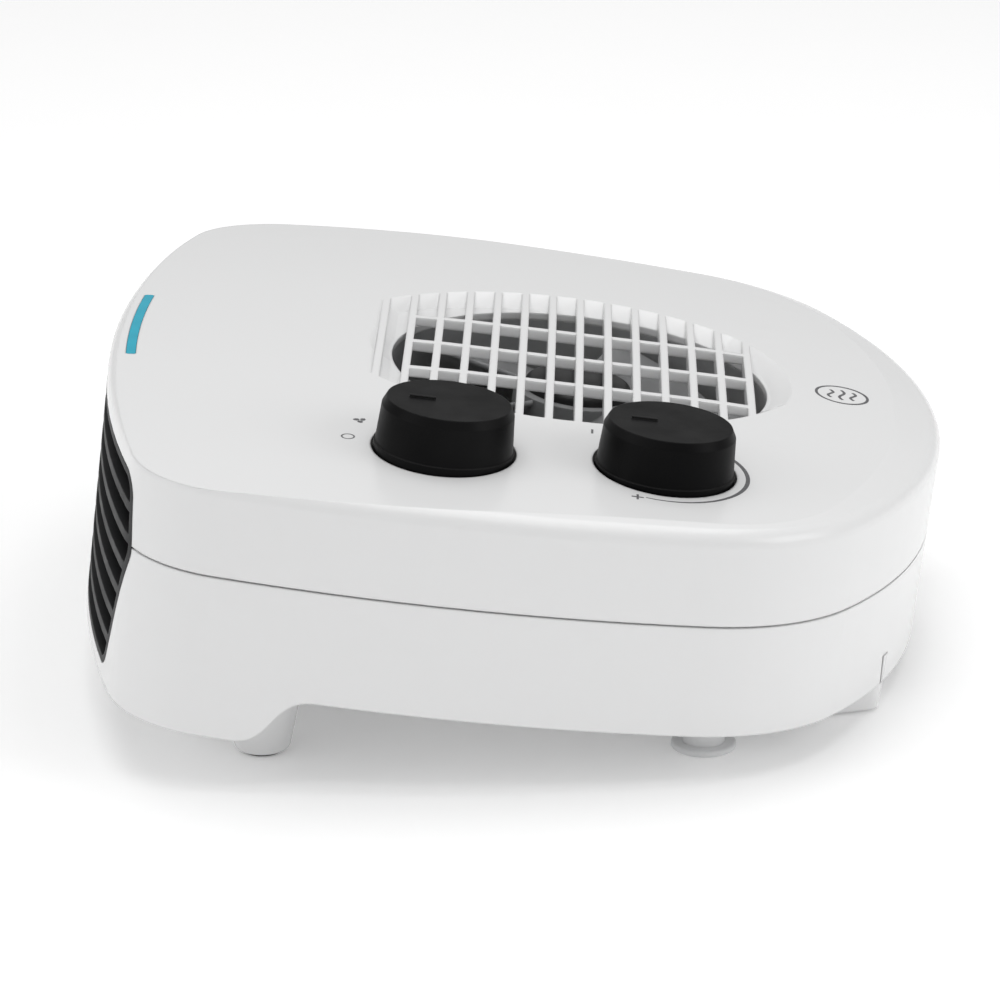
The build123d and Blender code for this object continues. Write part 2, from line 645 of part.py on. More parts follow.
with BuildPart() as indicator_lens:
    add(prism(strip_plan(0.0), LENS_BOTTOM, DEEP))
    add(upper_solid, mode=Mode.INTERSECT)
indicator_lens.part.label = "indicator_lens"
export_step(indicator_lens.part, "parts/indicator_lens.step")

with BuildPart() as indicator_board:
    with BuildSketch(BODY.offset(LENS_BOTTOM - LED_HEIGHT)):
        with Locations((0, BOARD_Y)):
            RectangleRounded(STRIP_LENGTH - BOARD_MARGIN * 2, BOARD_WIDTH, 1)
    extrude(amount=-BOARD_THICKNESS)
    with BuildSketch(BODY.offset(LENS_BOTTOM - LED_HEIGHT)):
        with Locations((0, BOARD_Y)):
            with GridLocations(LED_PITCH, 1, LED_COUNT, 1):
                Rectangle(LED_LENGTH, LED_WIDTH)
    extrude(amount=LED_HEIGHT)
indicator_board.part.label = "indicator_board"
export_step(indicator_board.part, "parts/indicator_board.step")

# ---- controls ---------------------------------------------------------------------------

dial_places = {"mode": MODE_PLACE, "thermostat": THERMOSTAT_PLACE}

for name, place in dial_places.items():
    x, y = place
    with BuildPart() as knob:
        add(prism(discs([place], KNOB_BASE_RADIUS), KNOB_BASE_BOTTOM, KNOB_BASE_TOP))
        with BuildSketch(BODY.offset(KNOB_BASE_TOP - KNOB_EDGE)):
            with Locations(place):
                Ellipse(KNOB_FOOT_X / 2, KNOB_FOOT_Y / 2)
        with BuildSketch(BODY.offset(KNOB_TOP)):
            with Locations(place):
                Ellipse(KNOB_CROWN_X / 2, KNOB_CROWN_Y / 2)
        loft()
        chamfer(edges_at(knob, KNOB_TOP), KNOB_EDGE * 1.4, KNOB_EDGE * 0.6)
        # raised pointer on the top, towards the outlet
        with BuildSketch(BODY.offset(KNOB_TOP - POINTER_HEIGHT)):
            with Locations((x, y - POINTER_LENGTH)):
                SlotOverall(POINTER_LENGTH, POINTER_WIDTH, rotation=90)
        extrude(amount=POINTER_HEIGHT * 2)
        # hollow underside with a hub that has a flatted bore for the spindle
        with BuildSketch(BODY.offset(KNOB_BASE_BOTTOM)):
            with Locations(place):
                Circle(KNOB_HOLLOW_RADIUS)
                Circle(KNOB_HUB_RADIUS, mode=Mode.SUBTRACT)
        extrude(amount=KNOB_TOP - KNOB_BASE_BOTTOM - KNOB_SKIN, taper=KNOB_DRAFT, mode=Mode.SUBTRACT)
        with BuildSketch(BODY.offset(KNOB_BASE_BOTTOM)):
            with Locations(place):
                Circle(SPINDLE_RADIUS + RUNNING_GAP)
            with Locations((x, y + SPINDLE_FLAT + RUNNING_GAP + SPINDLE_RADIUS)):
                Rectangle(SPINDLE_RADIUS * 3, SPINDLE_RADIUS * 2, mode=Mode.SUBTRACT)
        extrude(amount=SPINDLE_TOP - KNOB_BASE_BOTTOM + FIT_GAP, mode=Mode.SUBTRACT)
        add(prism(discs([place], BUSH_RADIUS + FIT_GAP), KNOB_BASE_BOTTOM, BUSH_TOP), mode=Mode.SUBTRACT)
    knob.part.label = f"{name}_knob"
    export_step(knob.part, f"parts/{name}_knob.step")

    with BuildPart() as spindle:
        add(prism(discs([place], SPINDLE_RADIUS), SPINDLE_BOTTOM, SPINDLE_TOP))
        with BuildSketch(BODY.offset(KNOB_BASE_BOTTOM)):
            with Locations((x, y + SPINDLE_FLAT + SPINDLE_RADIUS)):
                Rectangle(SPINDLE_RADIUS * 3, SPINDLE_RADIUS * 2)
        extrude(amount=SPINDLE_TOP - KNOB_BASE_BOTTOM, mode=Mode.SUBTRACT)
    spindle.part.label = f"{name}_spindle"
    export_step(spindle.part, f"parts/{name}_spindle.step")

plate_bottom = PLATE_TOP - PLATE_THICKNESS

with BuildPart() as control_plate:
    with BuildSketch(BODY.offset(PLATE_TOP)):
        with Locations((PLATE_X, PLATE_Y)):
            RectangleRounded(PLATE_WIDTH, PLATE_LENGTH, PLATE_CORNER)
        add(discs([MODE_PLACE, THERMOSTAT_PLACE], BUSH_RADIUS + RUNNING_GAP), mode=Mode.SUBTRACT)
        add(discs(PLATE_SCREWS, SCREW_RADIUS + FIT_GAP), mode=Mode.SUBTRACT)
    extrude(amount=-PLATE_THICKNESS)
control_plate.part.label = "control_plate"
export_step(control_plate.part, "parts/control_plate.step")

with BuildPart() as plate_screws:
    add(pan_screws(PLATE_SCREWS, plate_bottom, PLATE_TIP - TIP_CLEARANCE))
plate_screws.part.label = "plate_screws"
export_step(plate_screws.part, "parts/plate_screws.step")

with BuildPart() as mode_switch:
    with BuildSketch(BODY.offset(plate_bottom)):
        with Locations(MODE_PLACE):
            RectangleRounded(SWITCH_SIZE, SWITCH_SIZE, SWITCH_CORNER)
    extrude(amount=-SWITCH_HEIGHT)
    add(prism(discs([MODE_PLACE], BUSH_RADIUS), plate_bottom, BUSH_TOP))
    # spade terminals under the switch
    with BuildSketch(BODY.offset(plate_bottom - SWITCH_HEIGHT)):
        with Locations(MODE_PLACE):
            with GridLocations(TAG_PITCH_X, TAG_PITCH_Y, 2, 3):
                Rectangle(TAG_THICKNESS, TAG_WIDTH)
    extrude(amount=-TAG_LENGTH)
    add(prism(discs([MODE_PLACE], SPINDLE_RADIUS + RUNNING_GAP), SPINDLE_BOTTOM, 0), mode=Mode.SUBTRACT)
mode_switch.part.label = "mode_switch"
export_step(mode_switch.part, "parts/mode_switch.step")

with BuildPart() as thermostat:
    with BuildSketch(BODY.offset(plate_bottom)):
        with Locations(THERMOSTAT_PLACE):
            RectangleRounded(THERMOSTAT_WIDTH, THERMOSTAT_LENGTH, SWITCH_CORNER)
    extrude(amount=-THERMOSTAT_HEIGHT)
    add(prism(discs([THERMOSTAT_PLACE], BUSH_RADIUS), plate_bottom, BUSH_TOP))
    add(prism(discs([THERMOSTAT_PLACE], SPINDLE_RADIUS + RUNNING_GAP), SPINDLE_BOTTOM, 0), mode=Mode.SUBTRACT)
thermostat.part.label = "thermostat"
export_step(thermostat.part, "parts/thermostat.step")

# the thermostat's bimetal blade and its contact carrier stand off the body's rear side
with BuildPart() as bimetal_blade:
    x, y = THERMOSTAT_PLACE
    rivet_reach = THERMOSTAT_LENGTH / 2 - BIMETAL_INSET
    with BuildSketch(BODY.offset(plate_bottom - THERMOSTAT_HEIGHT)):
        with Locations((x, y)):
            Rectangle(BLADE_WIDTH, THERMOSTAT_LENGTH - 2)
    extrude(amount=-BIMETAL_THICKNESS)
    with BuildSketch(BODY.offset(plate_bottom - THERMOSTAT_HEIGHT - BIMETAL_THICKNESS)):
        with Locations((x, y - rivet_reach), (x, y + rivet_reach)):
            Circle(BLADE_WIDTH / 4)
    extrude(amount=-BIMETAL_THICKNESS * 2)
bimetal_blade.part.label = "bimetal_blade"
export_step(bimetal_blade.part, "parts/bimetal_blade.step")

# ---- fan --------------------------------------------------------------------------------

duct_wall_radius = INTAKE_RADIUS + DUCT_WALL
strap_bottom = STRAP_TOP - STRAP_THICKNESS
lug_places = [(-LUG_X, FAN_Y), (LUG_X, FAN_Y)]

with BuildPart() as fan_duct:
    with BuildSketch(BODY.offset(pocket_underside)):
        add(discs([FAN_PLACE], DUCT_FLANGE_RADIUS))
        add(ears())
    extrude(amount=-DUCT_WALL)
    add(prism(discs([FAN_PLACE], duct_wall_radius), DUCT_BOTTOM, pocket_underside))
    with BuildSketch(BODY.offset(DUCT_BOTTOM)):
        with Locations(*lug_places):
            Rectangle(LUG_SIZE, LUG_SIZE)
    extrude(amount=LUG_HEIGHT)
    add(prism(discs([FAN_PLACE], INTAKE_RADIUS), -DEEP, 0), mode=Mode.SUBTRACT)
    add(prism(discs(EAR_PLACES, SCREW_RADIUS + FIT_GAP), -DEEP, 0), mode=Mode.SUBTRACT)
    lug_holes = discs(lug_places, SCREW_RADIUS + RUNNING_GAP)
    add(prism(lug_holes, -DEEP, DUCT_BOTTOM + LUG_HEIGHT - 1), mode=Mode.SUBTRACT)
fan_duct.part.label = "fan_duct"
export_step(fan_duct.part, "parts/fan_duct.step")

with BuildPart() as duct_screws:
    add(pan_screws(EAR_PLACES, pocket_underside - DUCT_WALL, EAR_TIP - TIP_CLEARANCE))
duct_screws.part.label = "duct_screws"
export_step(duct_screws.part, "parts/duct_screws.step")

with BuildPart() as fan_impeller:
    # each blade is lofted from a steep root to a flatter tip, then trimmed to a cylinder
    for blade in range(BLADE_COUNT):
        turn = blade * 2 * pi / BLADE_COUNT
        outward = BODY.x_dir * cos(turn) + BODY.y_dir * sin(turn)
        along = BODY.y_dir * cos(turn) - BODY.x_dir * sin(turn)
        axis_point = BODY.from_local_coords((0, FAN_Y, BLADE_MIDDLE))
        sections = (
            (HUB_RADIUS - HUB_SKIN, BLADE_ROOT_CHORD, BLADE_ROOT_TILT),
            (BLADE_TIP_RADIUS, BLADE_TIP_CHORD, BLADE_TIP_TILT),
        )
        for radius, chord, tilt in sections:
            station = Plane(origin=axis_point + outward * radius, x_dir=along, z_dir=outward)
            with BuildSketch(station):
                SlotOverall(chord, BLADE_THICKNESS, rotation=tilt)
        loft()
    add(prism(discs([FAN_PLACE], BLADE_TIP_RADIUS), HUB_BOTTOM, HUB_TOP), mode=Mode.INTERSECT)
    add(prism(discs([FAN_PLACE], HUB_RADIUS), HUB_BOTTOM, HUB_TOP))
    # hollow hub with a boss round the shaft
    with BuildSketch(BODY.offset(HUB_BOTTOM)):
        with Locations(FAN_PLACE):
            Circle(HUB_RADIUS - HUB_SKIN)
            Circle(HUB_BOSS, mode=Mode.SUBTRACT)
    extrude(amount=HUB_TOP - HUB_BOTTOM - HUB_SKIN, mode=Mode.SUBTRACT)
    add(prism(discs([FAN_PLACE], SHAFT_RADIUS), -DEEP, 0), mode=Mode.SUBTRACT)
fan_impeller.part.label = "fan_impeller"
export_step(fan_impeller.part, "parts/fan_impeller.step")

with BuildPart() as hub_cap:
    add(prism(discs([FAN_PLACE], CAP_RADIUS), HUB_TOP, CAP_TOP))
    fillet(edges_at(hub_cap, CAP_TOP), CAP_EDGE)
    add(prism(discs([FAN_PLACE], SHAFT_RADIUS), HUB_TOP, SHAFT_TOP), mode=Mode.SUBTRACT)
hub_cap.part.label = "hub_cap"
export_step(hub_cap.part, "parts/hub_cap.step")

with BuildPart() as motor_shaft:
    add(prism(discs([FAN_PLACE], SHAFT_RADIUS), SHAFT_BOTTOM, SHAFT_TOP))
    chamfer(edges_at(motor_shaft, SHAFT_BOTTOM), SHAFT_RADIUS / 5)
motor_shaft.part.label = "motor_shaft"
export_step(motor_shaft.part, "parts/motor_shaft.step")

with BuildPart() as rotor:
    add(prism(discs([FAN_PLACE], ROTOR_RADIUS), STACK_BOTTOM, STACK_TOP))
    add(prism(discs([FAN_PLACE], SHAFT_RADIUS), -DEEP, 0), mode=Mode.SUBTRACT)
rotor.part.label = "rotor"
export_step(rotor.part, "parts/rotor.step")

# ---- motor ------------------------------------------------------------------------------

motor_screw_places = [(-MOTOR_SCREW_X, FAN_Y), (MOTOR_SCREW_X, FAN_Y)]

with BuildPart() as stator_core:
    with BuildSketch(BODY.offset(STACK_BOTTOM)):
        with Locations((0, FAN_Y + (STACK_REAR - STACK_FRONT) / 2)):
            RectangleRounded(STACK_HALF_WIDTH * 2, STACK_FRONT + STACK_REAR, 2)
        add(discs([FAN_PLACE], ROTOR_RADIUS + ROTOR_GAP), mode=Mode.SUBTRACT)
        with Locations((0, FAN_Y + (WINDOW_START + WINDOW_END) / 2)):
            Rectangle(WINDOW_HALF_WIDTH * 2, WINDOW_END - WINDOW_START, mode=Mode.SUBTRACT)
        # slots that the shading rings lie in
        with Locations((-SHADE_X, FAN_Y - SHADE_Y), (SHADE_X, FAN_Y + SHADE_Y)):
            Rectangle(SHADE_SIZE, SHADE_SIZE, mode=Mode.SUBTRACT)
        add(discs(motor_screw_places, SCREW_RADIUS + FIT_GAP), mode=Mode.SUBTRACT)
    extrude(amount=STACK_TOP - STACK_BOTTOM)
stator_core.part.label = "stator_core"
export_step(stator_core.part, "parts/stator_core.step")

limb_y = FAN_Y + (WINDOW_END + STACK_REAR) / 2
limb_depth = STACK_REAR - WINDOW_END
stack_height = STACK_TOP - STACK_BOTTOM
limb_level = (STACK_TOP + STACK_BOTTOM) / 2
LIMB = Plane(
    origin=BODY.from_local_coords((-COIL_HALF_WIDTH, limb_y, limb_level)),
    x_dir=BODY.y_dir,
    z_dir=(1, 0, 0),
)

with BuildPart() as coil_bobbin:
    with BuildSketch(LIMB):
        Rectangle(limb_depth + BOBBIN_WALL * 2, stack_height + BOBBIN_WALL * 2)
    extrude(amount=COIL_HALF_WIDTH * 2)
    for start in (0, COIL_HALF_WIDTH * 2 - BOBBIN_WALL):
        with BuildSketch(LIMB.offset(start)):
            RectangleRounded(limb_depth + COIL_BUILD * 2, stack_height + COIL_BUILD * 2, 1.5)
        extrude(amount=BOBBIN_WALL)
    with BuildSketch(LIMB):
        Rectangle(limb_depth + RUNNING_GAP, stack_height + RUNNING_GAP)
    extrude(amount=DEEP, mode=Mode.SUBTRACT)
coil_bobbin.part.label = "coil_bobbin"
export_step(coil_bobbin.part, "parts/coil_bobbin.step")

with BuildPart() as motor_coil:
    with BuildSketch(LIMB.offset(BOBBIN_WALL)):
        RectangleRounded(limb_depth + COIL_BUILD * 2 - 2, stack_height + COIL_BUILD * 2 - 2, 4)
        Rectangle(
            limb_depth + BOBBIN_WALL * 2,
            stack_height + BOBBIN_WALL * 2,
            mode=Mode.SUBTRACT,
        )
    extrude(amount=COIL_HALF_WIDTH * 2 - BOBBIN_WALL * 2)
motor_coil.part.label = "motor_coil"
export_step(motor_coil.part, "parts/motor_coil.step")

# bridge outward from the stack: (name, stack face, direction away from the stack)
for name, face, away in (("upper", STACK_TOP, 1), ("lower", STACK_BOTTOM, -1)):
    inner_face = face + away * BRIDGE_GAP
    outer_face = inner_face + away * BRIDGE_THICKNESS
    with BuildPart() as bridge:
        with BuildSketch(BODY.offset(inner_face)):
            with Locations(FAN_PLACE):
                RectangleRounded(STACK_HALF_WIDTH * 2, BEARING_BOSS * 2, 3)
        extrude(amount=away * BRIDGE_THICKNESS)
        add(prism(discs(motor_screw_places, BOSS_RADIUS), face, inner_face))
        add(prism(discs([FAN_PLACE], BEARING_BOSS), inner_face, outer_face + away * BEARING_REACH))
        add(prism(discs([FAN_PLACE], BEARING_RADIUS), -DEEP, 0), mode=Mode.SUBTRACT)
        add(prism(discs(motor_screw_places, SCREW_RADIUS + FIT_GAP), -DEEP, 0), mode=Mode.SUBTRACT)
    bridge.part.label = f"{name}_bridge"
    export_step(bridge.part, f"parts/{name}_bridge.step")

bush_length = BRIDGE_THICKNESS + BEARING_REACH

with BuildPart() as bearing_bushes:
    for low in (STACK_TOP + BRIDGE_GAP, STACK_BOTTOM - BRIDGE_GAP - bush_length):
        add(prism(discs([FAN_PLACE], BEARING_RADIUS), low, low + bush_length))
    add(prism(discs([FAN_PLACE], SHAFT_RADIUS + RUNNING_GAP), -DEEP, 0), mode=Mode.SUBTRACT)
bearing_bushes.part.label = "bearing_bushes"
export_step(bearing_bushes.part, "parts/bearing_bushes.step")

with BuildPart() as motor_strap:
    with BuildSketch(BODY.offset(strap_bottom)):
        with Locations(FAN_PLACE):
            RectangleRounded(LUG_X * 2 + LUG_SIZE, STRAP_WIDTH, 3)
        add(discs([FAN_PLACE], BEARING_BOSS + FIT_GAP), mode=Mode.SUBTRACT)
        add(discs(lug_places + motor_screw_places, SCREW_RADIUS + FIT_GAP), mode=Mode.SUBTRACT)
    extrude(amount=STRAP_THICKNESS)
motor_strap.part.label = "motor_strap"
export_step(motor_strap.part, "parts/motor_strap.step")

with BuildPart() as strap_screws:
    add(pan_screws(lug_places, strap_bottom, DUCT_BOTTOM + LUG_HEIGHT - 1.5))
strap_screws.part.label = "strap_screws"
export_step(strap_screws.part, "parts/strap_screws.step")

with BuildPart() as motor_screws:
    add(pan_screws(motor_screw_places, STACK_BOTTOM - BRIDGE_GAP - BRIDGE_THICKNESS, STRAP_TOP))
    add(prism(discs(motor_screw_places, HEAD_RADIUS), STRAP_TOP, STRAP_TOP + NUT_HEIGHT))
motor_screws.part.label = "motor_screws"
export_step(motor_screws.part, "parts/motor_screws.step")

# ---- heating element --------------------------------------------------------------------

element_middle = (ELEMENT_TOP + ELEMENT_BOTTOM) / 2
element_height = ELEMENT_TOP - ELEMENT_BOTTOM
element_depth = ELEMENT_FRONT - ELEMENT_REAR
rack_width = ELEMENT_HALF_WIDTH * 2 - SHEET * 2
rack_height = element_height - SHEET * 2
row_pitch = (rack_height - MICA) / RIBBON_ROWS

with BuildPart() as heater_frame:
    with BuildSketch(FRONT.offset(ELEMENT_REAR)):
        with Locations((0, element_middle)):
            Rectangle(ELEMENT_HALF_WIDTH * 2, element_height)
            Rectangle(rack_width, rack_height, mode=Mode.SUBTRACT)
    extrude(amount=element_depth)
    # side tabs that rest on the posts of the lower shell
    with BuildSketch(BODY.offset(ELEMENT_BOTTOM)):
        for side in (-1, 1):
            with Locations((side * (ELEMENT_HALF_WIDTH + TAB_LENGTH / 2), POST_PLACES[0][1])):
                Rectangle(TAB_LENGTH, TAB_WIDTH)
        add(discs(POST_PLACES, SCREW_RADIUS + FIT_GAP), mode=Mode.SUBTRACT)
    extrude(amount=SHEET)
heater_frame.part.label = "heater_frame"
export_step(heater_frame.part, "parts/heater_frame.step")

with BuildPart() as mica_rack:
    with BuildSketch(FRONT.offset(ELEMENT_REAR + 1)):
        with Locations((0, element_middle)):
            Rectangle(rack_width, rack_height)
            with GridLocations(1, row_pitch, 1, RIBBON_ROWS):
                Rectangle(rack_width - MICA * 2, row_pitch - MICA, mode=Mode.SUBTRACT)
    extrude(amount=element_depth - 2)
mica_rack.part.label = "mica_rack"
export_step(mica_rack.part, "parts/mica_rack.step")

# each row is one ribbon folded up and down between two mica boards
ribbon_length = rack_width - MICA * 2 - RIBBON_SIDE_GAP * 2
fold = ribbon_length / (RIBBON_TURNS * 2)
rise = (row_pitch - MICA) / 2 - RIBBON_THICKNESS
folds = [(-ribbon_length / 2 + i * fold, rise * (-1) ** i) for i in range(RIBBON_TURNS * 2 + 1)]

with BuildPart() as heating_ribbons:
    for row in range(RIBBON_ROWS):
        row_level = element_middle + (row - (RIBBON_ROWS - 1) / 2) * row_pitch
        under = [(x, row_level + y - RIBBON_THICKNESS / 2) for x, y in folds]
        over = [(x, row_level + y + RIBBON_THICKNESS / 2) for x, y in reversed(folds)]
        with BuildSketch(FRONT.offset(ELEMENT_REAR + (element_depth - RIBBON_DEPTH) / 2)):
            with BuildLine():
                Polyline(*under, *over, close=True)
            make_face()
        extrude(amount=RIBBON_DEPTH)
heating_ribbons.part.label = "heating_ribbons"
export_step(heating_ribbons.part, "parts/heating_ribbons.step")

with BuildPart() as element_screws:
    head_low = ELEMENT_BOTTOM + SHEET
    add(prism(discs(POST_PLACES, SCREW_RADIUS), ELEMENT_BOTTOM - ELEMENT_SCREW_LENGTH, head_low))
    add(prism(discs(POST_PLACES, HEAD_RADIUS), head_low, head_low + HEAD_HEIGHT))
    with BuildSketch(BODY.offset(head_low + HEAD_HEIGHT)):
        with Locations(*POST_PLACES):
            Rectangle(SLOT_LENGTH, SLOT_WIDTH)
            Rectangle(SLOT_WIDTH, SLOT_LENGTH)
    extrude(amount=-SLOT_DEPTH, mode=Mode.SUBTRACT)
element_screws.part.label = "element_screws"
export_step(element_screws.part, "parts/element_screws.step")

with BuildPart() as sensor_board:
    with BuildSketch(FRONT.offset(ELEMENT_REAR - MICA)):
        with Locations((SENSOR_X, element_middle)):
            Rectangle(SENSOR_WIDTH, element_height)
    extrude(amount=MICA)
sensor_board.part.label = "sensor_board"
export_step(sensor_board.part, "parts/sensor_board.step")

SENSOR = FRONT.offset(ELEMENT_REAR - MICA)

with BuildPart() as thermal_cutout:
    with BuildSketch(SENSOR):
        with Locations((CUTOUT_X, CUTOUT_LEVEL)):
            Circle(CUTOUT_RADIUS)
    extrude(amount=-CUTOUT_HEIGHT)
    fillet(thermal_cutout.edges().group_by(Axis(BODY.origin, BODY.y_dir))[-1], 1)
    with BuildSketch(SENSOR.offset(-CUTOUT_HEIGHT / 2)):
        with Locations((CUTOUT_X, CUTOUT_LEVEL)):
            Rectangle(CUTOUT_RADIUS * 2 + TAG_LENGTH, TAG_WIDTH)
    extrude(amount=-TAG_THICKNESS)
thermal_cutout.part.label = "thermal_cutout"
export_step(thermal_cutout.part, "parts/thermal_cutout.step")

with BuildPart() as thermal_fuse:
    fuse_bottom = CUTOUT_LEVEL - FUSE_LENGTH / 2
    fuse_y = -ELEMENT_REAR + MICA + FUSE_RADIUS
    add(prism(discs([(FUSE_X, fuse_y)], FUSE_RADIUS), fuse_bottom, fuse_bottom + FUSE_LENGTH))
    lead = discs([(FUSE_X, fuse_y)], FUSE_RADIUS / 4)
    add(prism(lead, fuse_bottom - FUSE_LENGTH / 2, fuse_bottom + FUSE_LENGTH * 1.5))
thermal_fuse.part.label = "thermal_fuse"
export_step(thermal_fuse.part, "parts/thermal_fuse.step")

# ---- tip-over switch --------------------------------------------------------------------

clip_top = STEM_TOP + CLIP_THICKNESS
x, y = PLUNGER_PLACE

with BuildPart() as tip_plunger:
    add(upright(discs([PLUNGER_PLACE], DISC_RADIUS), 0, DISC_THICKNESS))
    fillet(tip_plunger.edges(), DISC_EDGE)
    add(upright(discs([PLUNGER_PLACE], STEM_RADIUS), DISC_THICKNESS / 2, STEM_TOP))
    add(upright(discs([PLUNGER_PLACE], NECK_RADIUS), STEM_TOP, clip_top))
    add(upright(discs([PLUNGER_PLACE], ROD_RADIUS), clip_top, ROD_TOP))
tip_plunger.part.label = "tip_plunger"
export_step(tip_plunger.part, "parts/tip_plunger.step")

with BuildPart() as plunger_clip:
    add(upright(discs([PLUNGER_PLACE], CLIP_RADIUS), STEM_TOP, clip_top))
    add(upright(discs([PLUNGER_PLACE], NECK_RADIUS), 0, DEEP), mode=Mode.SUBTRACT)
plunger_clip.part.label = "plunger_clip"
export_step(plunger_clip.part, "parts/plunger_clip.step")

with BuildPart() as tip_spring:
    spring_low = clip_top + SPRING_WIRE
    spring_height = HOLDER_BOTTOM - clip_top - SPRING_WIRE * 2
    with BuildLine(Plane(origin=(x, y, spring_low))):
        turns = Helix(spring_height / SPRING_TURNS, spring_height, SPRING_RADIUS)
    with BuildSketch(Plane(origin=turns @ 0, z_dir=turns % 0)):
        Circle(SPRING_WIRE)
    sweep(path=turns)
tip_spring.part.label = "tip_spring"
export_step(tip_spring.part, "parts/tip_spring.step")

with BuildPart() as switch_holder:
    with BuildSketch(Plane.XY.offset(HOLDER_TOP)):
        with Locations(PLUNGER_PLACE):
            Rectangle(HOLDER_WIDTH, HOLDER_LENGTH)
    extrude(amount=-HOLDER_TOP)
    with BuildSketch(Plane.XY.offset(HOLDER_BOTTOM)):
        with Locations(PLUNGER_PLACE):
            Rectangle(HOLDER_WIDTH * 2, HOLDER_LENGTH - HOLDER_WALL * 2)
    extrude(amount=-HOLDER_TOP, mode=Mode.SUBTRACT)
    add(upright(discs([PLUNGER_PLACE], ROD_RADIUS + RUNNING_GAP), 0, DEEP), mode=Mode.SUBTRACT)
    add(lower_cavity, mode=Mode.INTERSECT)
switch_holder.part.label = "switch_holder"
export_step(switch_holder.part, "parts/switch_holder.step")

with BuildPart() as tip_switch:
    width, length, height = TIP_SWITCH_SIZE
    with BuildSketch(Plane.XY.offset(HOLDER_TOP)):
        with Locations(PLUNGER_PLACE):
            RectangleRounded(width, length, 1)
    extrude(amount=height)
    with BuildSketch(Plane.XY.offset(HOLDER_TOP + height / 2)):
        with Locations(PLUNGER_PLACE):
            with GridLocations(width + TAG_LENGTH, TIP_TAG_PITCH, 2, 2):
                Rectangle(TAG_LENGTH, TAG_WIDTH)
    extrude(amount=TAG_THICKNESS)
    add(upright(discs([PLUNGER_PLACE], ROD_RADIUS + RUNNING_GAP), 0, ROD_TOP + FIT_GAP), mode=Mode.SUBTRACT)
tip_switch.part.label = "tip_switch"
export_step(tip_switch.part, "parts/tip_switch.step")

# ---- mains entry ------------------------------------------------------------------------

with BuildPart() as cord_gland:
    with BuildSketch(GLAND.offset(-GLAND_INSIDE)):
        Circle(GLAND_RADIUS)
    extrude(amount=GLAND_INSIDE + GLAND_OUTSIDE)
    with BuildSketch(GLAND.offset(GLAND_OUTSIDE)):
        Circle(GLAND_FLANGE_RADIUS)
    extrude(amount=-GLAND_OUTSIDE)
    fillet(cord_gland.edges().group_by(Axis(GLAND.origin, GLAND.z_dir))[-1], GLAND_EDGE)
    with BuildSketch(GLAND.offset(-GLAND_INSIDE)):
        Circle(GLAND_BORE)
    extrude(amount=DEEP, mode=Mode.SUBTRACT)
cord_gland.part.label = "cord_gland"
export_step(cord_gland.part, "parts/cord_gland.step")

width, length, height = TERMINAL_SIZE
terminal_low = BOTTOM_LEVEL + FLOOR_THICKNESS

with BuildPart() as terminal_block:
    with BuildSketch(BODY.offset(terminal_low)):
        with Locations(TERMINAL_PLACE):
            RectangleRounded(width, length, TERMINAL_CORNER)
    extrude(amount=height)
    with BuildSketch(BODY.offset(terminal_low + height)):
        with Locations(TERMINAL_PLACE):
            with GridLocations(TERMINAL_PITCH, 1, 3, 1):
                Circle(HEAD_RADIUS)
    extrude(amount=-height / 2, mode=Mode.SUBTRACT)
terminal_block.part.label = "terminal_block"
export_step(terminal_block.part, "parts/terminal_block.step")

with BuildPart() as terminal_screws:
    with BuildSketch(BODY.offset(terminal_low + height / 2)):
        with Locations(TERMINAL_PLACE):
            with GridLocations(TERMINAL_PITCH, 1, 3, 1):
                Circle(HEAD_RADIUS - FIT_GAP)
    extrude(amount=height / 3)
    with BuildSketch(BODY.offset(terminal_low + height / 2 + height / 3)):
        with Locations(TERMINAL_PLACE):
            with GridLocations(TERMINAL_PITCH, 1, 3, 1):
                Rectangle(HEAD_RADIUS * 2, SLOT_WIDTH)
    extrude(amount=-SLOT_DEPTH, mode=Mode.SUBTRACT)
terminal_screws.part.label = "terminal_screws"
export_step(terminal_screws.part, "parts/terminal_screws.step")

with BuildPart() as case_screws:
    add(pan_screws(CASE_SCREWS, SEAT_LEVEL, CASE_TIP - 1))
case_screws.part.label = "case_screws"
export_step(case_screws.part, "parts/case_screws.step")
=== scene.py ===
import json
from math import cos, pi, radians, sin, sqrt

import bmesh
import bpy
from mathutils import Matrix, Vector


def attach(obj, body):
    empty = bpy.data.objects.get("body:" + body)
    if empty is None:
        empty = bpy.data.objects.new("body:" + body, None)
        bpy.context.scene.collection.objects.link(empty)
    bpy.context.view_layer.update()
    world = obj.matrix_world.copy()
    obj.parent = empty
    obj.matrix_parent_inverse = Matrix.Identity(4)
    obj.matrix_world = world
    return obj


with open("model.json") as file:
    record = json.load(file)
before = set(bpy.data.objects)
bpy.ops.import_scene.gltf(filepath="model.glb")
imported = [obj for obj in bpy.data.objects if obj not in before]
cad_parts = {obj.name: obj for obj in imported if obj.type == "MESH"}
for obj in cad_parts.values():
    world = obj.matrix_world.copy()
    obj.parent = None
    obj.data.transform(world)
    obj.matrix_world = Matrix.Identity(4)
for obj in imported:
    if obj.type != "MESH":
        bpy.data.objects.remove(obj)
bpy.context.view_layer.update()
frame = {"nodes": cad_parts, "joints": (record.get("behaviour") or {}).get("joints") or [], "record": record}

# A fan convector heater.  Metres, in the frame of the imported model.  The heater's own pieces
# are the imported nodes; this script gives them their finishes, prints the marks on the top,
# and sets the floor, the lights and the camera.

nodes = frame["nodes"]
scene = bpy.context.scene
record = frame["record"]

# ---- the leaning body -------------------------------------------------------------------
# The joints of the two knobs and of the fan stand on the flat reference plane of the top.

